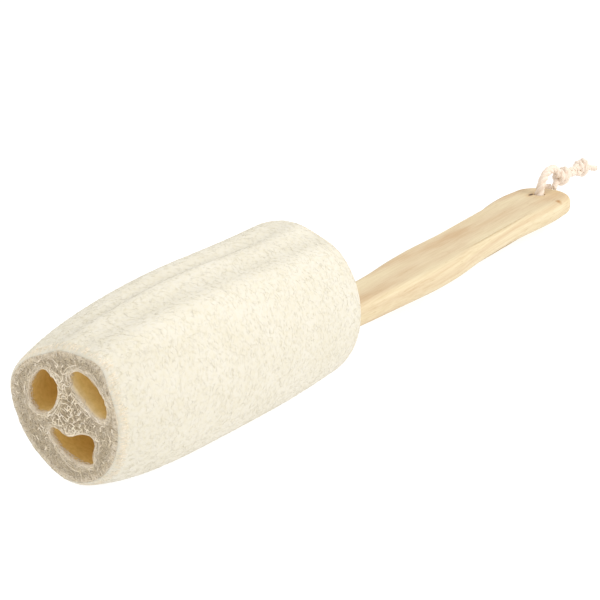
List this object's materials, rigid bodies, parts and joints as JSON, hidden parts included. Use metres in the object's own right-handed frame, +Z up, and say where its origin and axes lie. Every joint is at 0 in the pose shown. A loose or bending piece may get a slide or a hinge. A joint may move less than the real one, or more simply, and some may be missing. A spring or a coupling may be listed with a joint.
{
  "type": "loofah back scrubber",
  "caption": "Length of dried loofah with seed cavities on a waisted wooden paddle handle, with a knotted cotton cord through the paddle to hang it by.",
  "frame": {"origin": "middle of the footprint of the loofah and handle, on the surface that the scrubber lies on", "axes": "+X along the scrubber from the loofah's cut front end to the paddle's tip, +Z up when it lies with the handle's broad face upwards"},
  "size_m": [0.4588, 0.07, 0.0708],
  "materials": {
    "loofah_fibre": "matte felted plant fibre, cream outside and amber in the seed cavities",
    "pale_wood": "sanded, unvarnished",
    "nail_steel": "bright drawn wire",
    "hot_melt_glue": "waxy, translucent",
    "cotton_cord": "soft twisted cotton"
  },
  "bodies": {
    "scrubber": {"loofah": "loofah_fibre", "handle": "pale_wood", "tang_nail_front": "nail_steel", "tang_nail_rear": "nail_steel", "glue_collar": "hot_melt_glue"},
    "hang_cord": {"hang_cord_loop": "cotton_cord", "hang_cord_knot": "cotton_cord", "hang_cord_neck": "cotton_cord", "hang_cord_end_knot": "cotton_cord", "hang_cord_tail_near": "cotton_cord", "hang_cord_tail_far": "cotton_cord"}
  },
  "joints": [
    {"name": "hang_cord_swing", "type": "hinge", "parent": "scrubber", "child": "hang_cord", "pos_m": [0.18187, -0.00686, 0.01357], "axis": [0.0297, 0, 0.9996], "range_deg": [-120, 70]}
  ]
}
